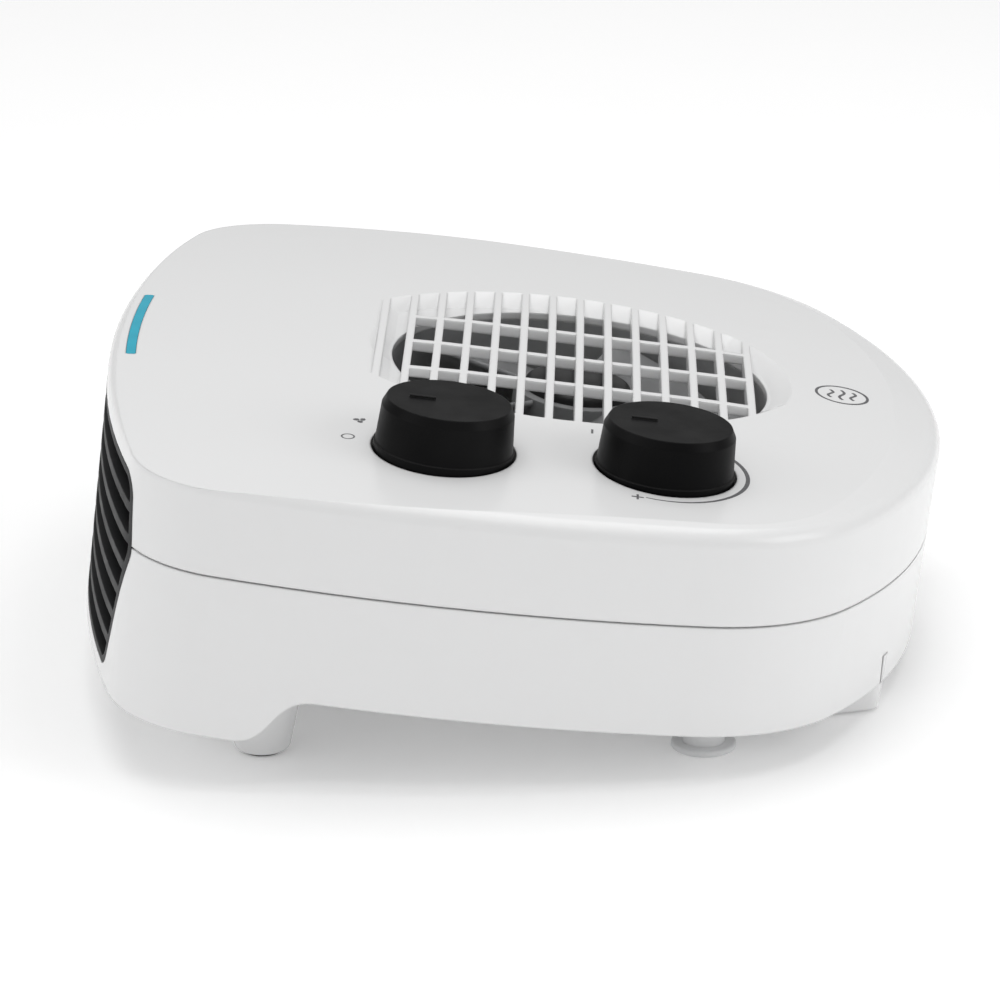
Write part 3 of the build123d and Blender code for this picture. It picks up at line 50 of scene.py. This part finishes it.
joints = {joint["name"]: joint for joint in frame["joints"]}
fan_top = Vector(joints["fan_spin"]["pos_m"])
up = Vector(joints["fan_spin"]["axis"]).normalized()
rear = up.cross(Vector((1, 0, 0))).normalized()
MODE_KNOB = Vector(joints["mode_knob_turn"]["pos_m"])
THERMOSTAT_KNOB = Vector(joints["thermostat_knob_turn"]["pos_m"])
DOME_RADIUS = 1.5           # the top is slightly domed about the fan axis
LEAN = radians(6.73)


def on_top(x, y, lift=0.0):
    """A point over the domed top: x across and y to the rear of the fan axis."""
    sag = sqrt(DOME_RADIUS ** 2 - x * x - y * y) - DOME_RADIUS
    return fan_top + Vector((x, 0, 0)) + rear * y + up * (sag + lift)


def place_on_top(point):
    """The two coordinates of a point from the fan axis."""
    offset = point - fan_top
    return offset.x, offset.dot(rear)


# ---- material tools ---------------------------------------------------------------------

class Finish:
    """A Principled material whose colour, roughness and relief are painted by nodes."""

    def __init__(self, name, colour, roughness, metallic=0.0, coat=0.0, specular=0.5):
        self.material = bpy.data.materials.new(name)
        self.material.use_nodes = True
        self.tree = self.material.node_tree
        self.shader = self.tree.nodes["Principled BSDF"]
        self.colour = self.rgb(colour)
        self.roughness = self.value(roughness)
        self.normal = None
        self.shader.inputs["Metallic"].default_value = metallic
        self.shader.inputs["Coat Weight"].default_value = coat
        self.shader.inputs["Specular IOR Level"].default_value = specular
        self.place = self.add("ShaderNodeTexCoord").outputs["Object"]

    def add(self, kind, **settings):
        node = self.tree.nodes.new(kind)
        for name, value in settings.items():
            setattr(node, name, value)
        return node

    def link(self, source, target):
        self.tree.links.new(source, target)

    def rgb(self, colour):
        node = self.add("ShaderNodeRGB")
        node.outputs[0].default_value = (*colour, 1)
        return node.outputs[0]

    def value(self, number):
        node = self.add("ShaderNodeValue")
        node.outputs[0].default_value = number
        return node.outputs[0]

    def stretched(self, scale, turn=(0, 0, 0)):
        """The object's coordinates, turned and then scaled along each axis."""
        turned = self.add("ShaderNodeMapping", vector_type="TEXTURE")
        turned.inputs["Rotation"].default_value = turn
        self.link(self.place, turned.inputs["Vector"])
        mapping = self.add("ShaderNodeMapping")
        mapping.inputs["Scale"].default_value = scale
        self.link(turned.outputs["Vector"], mapping.inputs["Vector"])
        return mapping.outputs["Vector"]

    def noise(self, size, detail=3.0, rough=0.55, place=None):
        """Cloudy noise whose lumps are about the given size."""
        node = self.add("ShaderNodeTexNoise")
        node.inputs["Scale"].default_value = 1 / size
        node.inputs["Detail"].default_value = detail
        node.inputs["Roughness"].default_value = rough
        self.link(place or self.place, node.inputs["Vector"])
        return node.outputs["Fac"]

    def bands(self, pitch, direction="Z", place=None, distortion=0.0):
        """Parallel bands of one pitch, from 0 to 1; a wave texture has 20 / 2 pi bands a unit."""
        node = self.add("ShaderNodeTexWave", bands_direction=direction)
        node.inputs["Scale"].default_value = 2 * pi / (20 * pitch)
        node.inputs["Distortion"].default_value = distortion
        self.link(place or self.place, node.inputs["Vector"])
        return node.outputs["Fac"]

    def flecks(self, size):
        """A random value for each small cell."""
        node = self.add("ShaderNodeTexVoronoi")
        node.inputs["Scale"].default_value = 1 / size
        self.link(self.place, node.inputs["Vector"])
        return node.outputs["Color"]

    def ramp(self, source, low, high, start=0.0, end=1.0):
        """Maps the part of a value between low and high onto start to end."""
        node = self.add("ShaderNodeMapRange")
        limits = {"From Min": low, "From Max": high, "To Min": start, "To Max": end}
        for name, number in limits.items():
            node.inputs[name].default_value = number
        self.link(source, node.inputs["Value"])
        return node.outputs["Result"]

    def tint(self, colour, amount, mask):
        """Mixes a second colour in, where the mask is high."""
        node = self.add("ShaderNodeMix", data_type="RGBA")
        factor = self.add("ShaderNodeMath", operation="MULTIPLY")
        factor.inputs[1].default_value = amount
        self.link(mask, factor.inputs[0])
        self.link(factor.outputs[0], node.inputs["Factor"])
        self.link(self.colour, node.inputs["A"])
        node.inputs["B"].default_value = (*colour, 1)
        self.colour = node.outputs["Result"]

    def roughen(self, amount, mask):
        """Adds roughness where the mask is high."""
        node = self.add("ShaderNodeMath", operation="MULTIPLY_ADD")
        node.inputs[1].default_value = amount
        self.link(mask, node.inputs[0])
        self.link(self.roughness, node.inputs[2])
        self.roughness = node.outputs[0]

    def soften(self, radius):
        """Rounds the look of all edges by a small radius and returns a mask of the edges.

        It comes before any relief, which builds on its normal.
        """
        edge = self.add("ShaderNodeBevel", samples=6)
        edge.inputs["Radius"].default_value = radius
        geometry = self.add("ShaderNodeNewGeometry")
        alike = self.add("ShaderNodeVectorMath", operation="DOT_PRODUCT")
        self.link(edge.outputs["Normal"], alike.inputs[0])
        self.link(geometry.outputs["Normal"], alike.inputs[1])
        self.normal = edge.outputs["Normal"]
        return self.ramp(alike.outputs["Value"], 0.99, 0.85)

    def relief(self, height, depth):
        """Raises the surface by a depth in metres where the height is 1."""
        node = self.add("ShaderNodeBump")
        node.inputs["Distance"].default_value = depth
        node.inputs["Strength"].default_value = 1.0
        self.link(height, node.inputs["Height"])
        if self.normal is not None:
            self.link(self.normal, node.inputs["Normal"])
        self.normal = node.outputs["Normal"]

    def done(self):
        self.link(self.colour, self.shader.inputs["Base Color"])
        self.link(self.roughness, self.shader.inputs["Roughness"])
        if self.normal is not None:
            self.link(self.normal, self.shader.inputs["Normal"])
        return self.material


def moulded(name, colour, roughness, wear_and_highlight, grain, depth, edge=0.0006, specular=0.5):
    """Moulded plastic: faint flow marks, fine grain and lighter edges, partly rubbed wear and partly a
    painted highlight.

    Grain is the width of its lumps, depth their height and edge the radius of the edges.
    """
    finish = Finish(name, colour, roughness, specular=specular)
    edges = finish.soften(edge)
    clouds = finish.noise(0.045)
    finish.tint(wear_and_highlight, 0.10, finish.ramp(clouds, 0.40, 0.68))
    # lighter edges: partly rubbed wear, partly a painted highlight
    finish.tint(wear_and_highlight, 0.35, edges)
    finish.roughen(0.10, finish.ramp(finish.noise(0.012), 0.35, 0.7))
    finish.relief(finish.noise(grain, detail=2), depth)
    return finish.done()


def brushed(name, colour, roughness, direction, stain=(0.30, 0.27, 0.22)):
    """Rolled or plated metal: drawn scratches along one direction, stains and edges brightened as a painted
    highlight.
    """
    finish = Finish(name, colour, roughness, metallic=1.0)
    edges = finish.soften(0.0003)
    scratches = finish.noise(0.02, detail=6, place=finish.stretched(direction))
    # brighter edges: a painted highlight
    finish.tint([min(1.0, channel * 1.35) for channel in colour], 0.6, edges)
    finish.tint(stain, 0.30, finish.ramp(finish.noise(0.009), 0.52, 0.75))
    finish.roughen(0.22, finish.ramp(scratches, 0.3, 0.7))
    finish.relief(scratches, 0.00002)
    return finish.done()


# ---- one finish for each material slot --------------------------------------------------

def white_case():
    finish = Finish("white_case", (0.80, 0.802, 0.805), 0.25, coat=0.2)
    finish.shader.inputs["Coat Roughness"].default_value = 0.12
    edges = finish.soften(0.0009)
    finish.tint((0.79, 0.788, 0.78), 0.3, finish.noise(0.003))
    # lighter along the edges: a painted highlight
    finish.tint((0.82, 0.82, 0.82), 0.4, edges)
    finish.roughen(0.02, finish.noise(0.0008))
    finish.relief(finish.noise(0.0004, detail=0), 0.0000002)
    return finish.done()


def louvre_black():
    return moulded(
        "louvre_black", (0.012, 0.012, 0.013), 0.50, (0.06, 0.06, 0.06),
        grain=0.0004, depth=0.00003, edge=0.0004, specular=0.3,
    )


def knob_black():
    # on the knobs the lighter edges paint a highlight on the chamfers
    return moulded(
        "knob_black", (0.0028, 0.0028, 0.003), 0.36, (0.05, 0.05, 0.05),
        grain=0.0003, depth=0.00001, edge=0.0005, specular=0.07,
    )


def lens_cyan():
    finish = Finish("lens_cyan", (0.0, 0.40, 0.55), 0.22, coat=0.05, specular=0.2)
    finish.soften(0.0003)
    glow = finish.bands(0.012, "X")
    finish.tint((0.0, 0.50, 0.66), 0.30, glow)
    finish.tint((0.0, 0.30, 0.42), 0.25, finish.noise(0.004))
    finish.roughen(0.06, finish.noise(0.003))
    finish.relief(finish.noise(0.0008), 0.000006)
    finish.shader.inputs["Transmission Weight"].default_value = 0.1
    finish.link(finish.colour, finish.shader.inputs["Emission Color"])
    finish.shader.inputs["Emission Strength"].default_value = 0.02
    return finish.done()


def circuit_board():
    finish = Finish("circuit_board", (0.02, 0.14, 0.06), 0.30, coat=0.6)
    tracks = finish.ramp(finish.bands(0.0022, "X", distortion=6.0), 0.72, 0.80)
    finish.tint((0.09, 0.30, 0.12), 0.8, tracks)
    finish.tint((0.01, 0.07, 0.03), 0.4, finish.noise(0.006))
    finish.roughen(0.12, finish.noise(0.002))
    finish.relief(tracks, 0.00004)
    return finish.done()


def fan_grey():
    return moulded(
        "fan_grey", (0.30, 0.303, 0.307), 0.45, (0.42, 0.42, 0.42), grain=0.0006, depth=0.00002,
    )


def black_plastic():
    return moulded(
        "black_plastic", (0.014, 0.014, 0.014), 0.45, (0.08, 0.08, 0.08),
        grain=0.0004, depth=0.00002, edge=0.0004,
    )


def plated_steel():
    return brushed("plated_steel", (0.60, 0.60, 0.57), 0.30, (1, 30, 30), (0.42, 0.36, 0.24))


def screw_steel():
    return brushed("screw_steel", (0.52, 0.52, 0.53), 0.26, (30, 30, 3))


def core_steel():
    finish = Finish("core_steel", (0.20, 0.21, 0.22), 0.38, metallic=0.9)
    finish.soften(0.0003)
    sheets = finish.bands(0.0005, "Z", place=finish.stretched((1, 1, 1), (-LEAN, 0, 0)))
    finish.tint((0.05, 0.05, 0.055), 0.7, finish.ramp(sheets, 0.35, 0.15))
    finish.tint((0.28, 0.14, 0.07), 0.25, finish.ramp(finish.noise(0.006), 0.58, 0.75))
    finish.roughen(0.2, finish.noise(0.003))
    finish.relief(sheets, 0.00008)
    return finish.done()


def rotor_aluminium():
    return brushed("rotor_aluminium", (0.66, 0.66, 0.67), 0.34, (4, 4, 30))


def copper_wire():
    finish = Finish("copper_wire", (0.50, 0.16, 0.045), 0.24, metallic=0.85, coat=0.6)
    turns = finish.bands(0.00045, "X", distortion=0.4)
    finish.tint((0.16, 0.045, 0.015), 0.75, finish.ramp(turns, 0.4, 0.1))
    finish.tint((0.72, 0.34, 0.12), 0.35, finish.noise(0.003))
    finish.roughen(0.16, finish.noise(0.002))
    finish.relief(turns, 0.00018)
    return finish.done()


def brass():
    return brushed("brass", (0.72, 0.50, 0.20), 0.26, (25, 25, 4), (0.36, 0.24, 0.10))


def bimetal():
    return brushed("bimetal", (0.62, 0.53, 0.40), 0.30, (25, 1, 25))


def mica():
    finish = Finish("mica", (0.56, 0.46, 0.30), 0.34, coat=0.3)
    finish.soften(0.0002)
    finish.tint((0.78, 0.70, 0.52), 0.6, finish.ramp(finish.noise(0.003, detail=6), 0.45, 0.7))
    flakes = finish.flecks(0.0014)
    finish.tint((0.30, 0.22, 0.12), 0.35, finish.ramp(flakes, 0.55, 0.9))
    finish.roughen(0.25, flakes)
    finish.relief(flakes, 0.00005)
    return finish.done()


def ribbon_alloy():
    finish = Finish("ribbon_alloy", (0.33, 0.31, 0.30), 0.42, metallic=0.95)
    finish.tint((0.16, 0.12, 0.17), 0.6, finish.ramp(finish.noise(0.014), 0.42, 0.62))
    finish.tint((0.42, 0.30, 0.16), 0.5, finish.ramp(finish.noise(0.009), 0.55, 0.75))
    corrugation = finish.bands(0.0012, "Z")
    finish.roughen(0.2, finish.noise(0.002))
    finish.relief(corrugation, 0.0001)
    return finish.done()


def switch_body():
    return moulded(
        "switch_body", (0.66, 0.63, 0.53), 0.48, (0.80, 0.78, 0.70), grain=0.0006, depth=0.00003,
    )


def ceramic_body():
    finish = Finish("ceramic_body", (0.74, 0.70, 0.62), 0.62)
    finish.soften(0.0004)
    finish.tint((0.60, 0.54, 0.44), 0.4, finish.ramp(finish.noise(0.008), 0.45, 0.7))
    finish.tint((0.38, 0.33, 0.27), 0.5, finish.ramp(finish.noise(0.0008), 0.66, 0.72))
    finish.roughen(0.15, finish.noise(0.002))
    finish.relief(finish.noise(0.0005), 0.00006)
    return finish.done()


def foot_rubber():
    return moulded(
        "foot_rubber", (0.045, 0.045, 0.045), 0.78, (0.15, 0.14, 0.13),
        grain=0.0007, depth=0.00008,
    )


def plunger_grey():
    return moulded(
        "plunger_grey", (0.78, 0.785, 0.79), 0.36, (0.86, 0.86, 0.86),
        grain=0.0006, depth=0.00001,
    )


def print_ink():
    """Pad-printed ink: grey, slightly uneven in cover."""
    finish = Finish("print_ink", (0.10, 0.10, 0.105), 0.5)
    finish.tint((0.30, 0.30, 0.31), 0.35, finish.ramp(finish.noise(0.0006, detail=4), 0.5, 0.7))
    finish.roughen(0.15, finish.noise(0.001))
    finish.relief(finish.noise(0.0003), 0.000008)
    return finish.done()


makers = (
    white_case, louvre_black, knob_black, lens_cyan, circuit_board, fan_grey, black_plastic,
    plated_steel, screw_steel, core_steel, rotor_aluminium, copper_wire, brass, bimetal, mica,
    ribbon_alloy, switch_body, ceramic_body, foot_rubber, plunger_grey,
)
finishes = {make.__name__: make() for make in makers}
ink = print_ink()

for part in record["subparts"]:
    materials = nodes[part["node"]].data.materials
    materials.clear()
    materials.append(finishes[part["material_slot"]])

# ---- printed marks ----------------------------------------------------------------------

INK_LIFT = 0.00003          # the ink's upper face above the top
INK_DEPTH = 0.00006         # the ink's thickness, so that its lower face is just under the top
MODE_MARK_RADIUS = 0.0255   # marks round the mode knob, from its axis
OFF_RING_RADIUS = 0.00165
OFF_RING_WIDTH = 0.00042
FAN_MARK_RADIUS = 0.0272
DOT_RADIUS = 0.00045
SCALE_RADIUS = 0.0222       # the thermostat's curved scale, from its knob's axis
SCALE_START, SCALE_END = 257, 430
SCALE_THIN, SCALE_SWELL = 0.00035, 0.0008
SIGN_LINE = 0.0006          # line width of the minus and the plus
WARM_AIR_PLACE = (0.0, 0.0738)
WARM_AIR_RADIUS = 0.0073
WARM_AIR_LINE = 0.0008
WARM_AIR_PITCH = 0.0032


def stroke(mesh, line, widths, closed=False):
    """A printed line of varying width that follows the domed top, as a thin closed strip."""
    count = len(line)
    rows = []
    for i, (x, y) in enumerate(line):
        before = line[(i - 1) % count] if closed or i else line[0]
        after = line[(i + 1) % count] if closed or i < count - 1 else line[-1]
        along = Vector((after[0] - before[0], after[1] - before[1])).normalized()
        side = Vector((-along.y, along.x)) * widths[i] / 2
        corners = ((x + side.x, y + side.y), (x - side.x, y - side.y))
        top = [mesh.verts.new(on_top(*corner, INK_LIFT)) for corner in corners]
        low = [mesh.verts.new(on_top(*corner, INK_LIFT - INK_DEPTH)) for corner in reversed(corners)]
        rows.append(top + low)
    last = count if closed else count - 1
    for i in range(last):
        here, there = rows[i], rows[(i + 1) % count]
        for k in range(4):
            mesh.faces.new((here[k], here[(k + 1) % 4], there[(k + 1) % 4], there[k]))
    if not closed:
        mesh.faces.new(reversed(rows[0]))
        mesh.faces.new(rows[-1])


def arc(centre, radius, start, end, count):
    """Points on an arc about a centre; angles in degrees from the rear towards -X."""
    turns = [radians(start + (end - start) * i / (count - 1)) for i in range(count)]
    return [(centre[0] - radius * sin(turn), centre[1] + radius * cos(turn)) for turn in turns]


def ring(mesh, centre, radius, width):
    line = arc(centre, radius, 0, 360, 49)[:-1]
    stroke(mesh, line, [width] * len(line), closed=True)


def dash(mesh, centre, length, width, turn):
    reach = Vector((-sin(radians(turn)), cos(radians(turn)))) * length / 2
    line = [(centre[0] + reach.x * k, centre[1] + reach.y * k) for k in (-1, 0, 1)]
    stroke(mesh, line, [width] * 3)


def printed(name, draw):
    """A printed mark as a piece of its own on the case."""
    mesh = bmesh.new()
    draw(mesh)
    bmesh.ops.recalc_face_normals(mesh, faces=mesh.faces)
    data = bpy.data.meshes.new(name)
    mesh.to_mesh(data)
    mesh.free()
    data.materials.append(ink)
    piece = bpy.data.objects.new(name, data)
    scene.collection.objects.link(piece)
    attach(piece, "case")


mode_x, mode_y = place_on_top(MODE_KNOB)
dial_x, dial_y = place_on_top(THERMOSTAT_KNOB)


def round_mode(angle, distance):
    """A place round the mode knob; angles in degrees from the front towards -X."""
    turn = radians(angle)
    return mode_x - distance * sin(turn), mode_y - distance * cos(turn)


def off_mark(mesh):
    """A ring in front of the mode knob, for off."""
    ring(mesh, round_mode(5.6, MODE_MARK_RADIUS), OFF_RING_RADIUS, OFF_RING_WIDTH)


def fan_mark(mesh):
    """Three curved petals round a centre, for cool air."""
    centre = round_mode(32.5, FAN_MARK_RADIUS)
    for blade in range(3):
        line = []
        for i in range(9):
            turn = radians(120 * blade + 20 + 5 * i)
            reach = 0.0003 + 0.00017 * i
            line.append((centre[0] - reach * sin(turn), centre[1] + reach * cos(turn)))
        stroke(mesh, line, [0.0003 + 0.0012 * sin(pi * (i + 1) / 10) for i in range(9)])


def heat_marks(mesh):
    """One dot for low heat and two for high heat, further round the mode knob."""
    for angle, offsets in ((62, (0,)), (92, (-3.2, 3.2))):
        for offset in offsets:
            ring(mesh, round_mode(angle + offset, MODE_MARK_RADIUS), DOT_RADIUS, 2 * DOT_RADIUS)


def thermostat_scale(mesh):
    """A curved wedge round the near side and the rear of the dial."""
    count = 73
    line = arc((dial_x, dial_y), SCALE_RADIUS, SCALE_START, SCALE_END, count)
    swells = [min(1.0, i / (count / 2)) for i in range(count)]
    stroke(mesh, line, [SCALE_THIN + SCALE_SWELL * swell for swell in swells])


def scale_ends(mesh):
    """A minus and a plus in place of words at the two ends of the scale."""
    dash(mesh, (dial_x - 0.0196, dial_y - 0.0195), 0.0030, SIGN_LINE, 90)
    plus_x, plus_y = dial_x + 0.0219, dial_y - 0.0072
    dash(mesh, (plus_x, plus_y), 0.0032, SIGN_LINE, 90)
    for side in (-1, 1):
        dash(mesh, (plus_x, plus_y + side * 0.00095), 0.0013, SIGN_LINE, 0)


def rear_mark(mesh):
    """A ring with three rising waves, for warm air."""
    centre_x, centre_y = WARM_AIR_PLACE
    ring(mesh, WARM_AIR_PLACE, WARM_AIR_RADIUS, WARM_AIR_LINE)
    for k in (-1, 0, 1):
        length = 0.0085 - 0.0018 * abs(k)
        line = []
        for i in range(25):
            along = (i / 24 - 0.5) * length
            across = k * WARM_AIR_PITCH + 0.0008 * sin(i / 24 * 2 * pi)
            line.append((centre_x + along, centre_y + across))
        stroke(mesh, line, [WARM_AIR_LINE] * len(line))


for draw in (off_mark, fan_mark, heat_marks, thermostat_scale, scale_ends, rear_mark):
    printed(draw.__name__, draw)

# ---- floor, lights and camera -----------------------------------------------------------

FLOOR_REACH = 4
FLOOR_GLOW = 0.13           # keeps the far floor as white as the backdrop
WORLD_LIGHT = 0.46
CAMERA_PLACE = (1.2011, 0.02296, 0.46683)
CAMERA_AIM = (-0.94157, -0.0210, -0.33620)
CAMERA_LENS = 162


def pale_floor():
    finish = Finish("pale_floor", (0.97, 0.97, 0.97), 0.6, specular=0.3)
    finish.tint((0.94, 0.94, 0.94), 0.3, finish.noise(0.4))
    finish.roughen(0.1, finish.noise(0.05))
    finish.shader.inputs["Emission Color"].default_value = (1, 1, 1, 1)
    finish.shader.inputs["Emission Strength"].default_value = FLOOR_GLOW
    return finish.done()


floor_mesh = bmesh.new()
bmesh.ops.create_grid(floor_mesh, x_segments=8, y_segments=8, size=FLOOR_REACH)
floor_data = bpy.data.meshes.new("floor")
floor_mesh.to_mesh(floor_data)
floor_mesh.free()
floor_data.materials.append(pale_floor())
floor = bpy.data.objects.new("floor", floor_data)
scene.collection.objects.link(floor)

world = bpy.data.worlds.new("studio")
scene.world = world
world.use_nodes = True
world.node_tree.nodes["Background"].inputs["Color"].default_value = (1, 1, 1, 1)
world.node_tree.nodes["Background"].inputs["Strength"].default_value = WORLD_LIGHT


def softbox(name, place, target, power, width, height):
    """A rectangular area light that faces a point."""
    light = bpy.data.lights.new(name, "AREA")
    light.shape = "RECTANGLE"
    light.energy = power
    light.size = width
    light.size_y = height
    lamp = bpy.data.objects.new(name, light)
    lamp.location = place
    lamp.rotation_euler = (Vector(target) - lamp.location).to_track_quat("-Z", "Y").to_euler()
    scene.collection.objects.link(lamp)


softbox("top_light", (-0.25, 0.0, 1.5), (0, 0, 0.05), 11, 1.4, 1.4)
softbox("near_light", (0.68, 0.0, 1.38), (0, 0, 0.05), 2, 1.1, 0.3)
softbox("front_light", (0.55, -1.3, 0.7), (0, 0, 0.04), 3.0, 0.8, 0.8)
softbox("rear_light", (0.45, 1.3, 0.6), (0, 0, 0.04), 4, 0.8, 0.8)

camera = bpy.data.objects.new("camera", bpy.data.cameras.new("camera"))
scene.collection.objects.link(camera)
camera.data.lens = CAMERA_LENS
camera.data.sensor_width = 36
camera.data.clip_end = 20
camera.location = CAMERA_PLACE
camera.rotation_euler = Vector(CAMERA_AIM).to_track_quat("-Z", "Y").to_euler()
scene.camera = camera
scene.view_settings.view_transform = "Standard"
